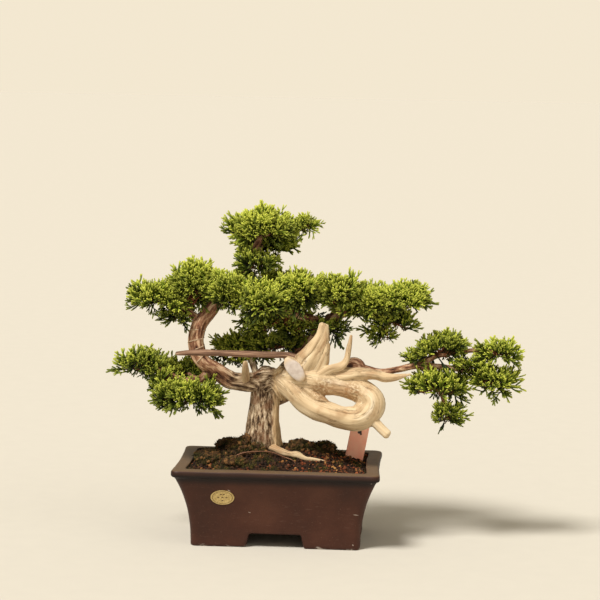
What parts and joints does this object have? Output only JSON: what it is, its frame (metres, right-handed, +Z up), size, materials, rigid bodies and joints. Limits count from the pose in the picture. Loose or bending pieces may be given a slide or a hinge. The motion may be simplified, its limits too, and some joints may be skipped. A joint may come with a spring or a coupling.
{
  "type": "potted bonsai tree",
  "caption": "Small juniper bonsai with a bleached deadwood loop and flat foliage pads, in a rectangular unglazed clay pot on corner feet.",
  "frame": {"origin": "on the surface that the pot stands on, under the middle of the whole object's box", "axes": "+Z up; X along the pot's long side; -Y is the front, where the label and the deadwood loop are"},
  "size_m": [0.4216, 0.154, 0.3429],
  "materials": {
    "clay": "matte",
    "label_paper": "satin",
    "screen_plastic": "matte",
    "wire": "satin",
    "grit": "matte",
    "soil": "matte",
    "moss": "matte",
    "marker_plastic": "matte",
    "deadwood": "matte",
    "bark": "matte",
    "leaves": "matte"
  },
  "bodies": {
    "root": {"back_branch": "bark", "centre_back_pad": "leaves", "centre_branch": "bark", "centre_front_pad": "leaves", "centre_pad": "leaves", "centre_under_pad": "leaves", "crown_back_pad": "leaves", "crown_low_pad": "leaves", "crown_pad": "leaves", "crown_right_pad": "leaves", "drain_screen_left": "screen_plastic", "drain_screen_right": "screen_plastic", "drainage_grit": "grit", "inner_branch": "bark", "inner_left_pad": "leaves", "leader_branch": "bark", "left_back_branch": "bark", "left_back_pad": "leaves", "left_inner_pad": "leaves", "left_low_back_pad": "leaves", "left_low_branch": "bark", "left_low_pad": "leaves", "left_low_tip_pad": "leaves", "left_middle_pad": "leaves", "left_tip_branch": "bark", "left_tip_pad": "leaves", "left_under_pad": "leaves", "maker_sticker": "label_paper", "moss_back": "moss", "moss_back_left": "moss", "moss_front_left": "moss", "moss_left": "moss", "moss_middle": "moss", "moss_right": "moss", "plant_marker": "marker_plastic", "pot": "clay", "right_back_branch": "bark", "right_back_pad": "leaves", "right_drop_branch": "bark", "right_drop_pad": "leaves", "right_inner_pad": "leaves", "right_low_branch": "bark", "right_low_outer_pad": "leaves", "right_low_pad": "leaves", "right_low_tip_pad": "leaves", "right_low_top_pad": "leaves", "right_middle_pad": "leaves", "right_rise_branch": "bark", "right_tip_pad": "leaves", "right_under_pad": "leaves", "screen_clip_left": "wire", "screen_clip_right": "wire", "second_stem": "bark", "soil_bed": "soil", "tie_down_wire": "wire", "trunk": "deadwood"}
  },
  "joints": []
}
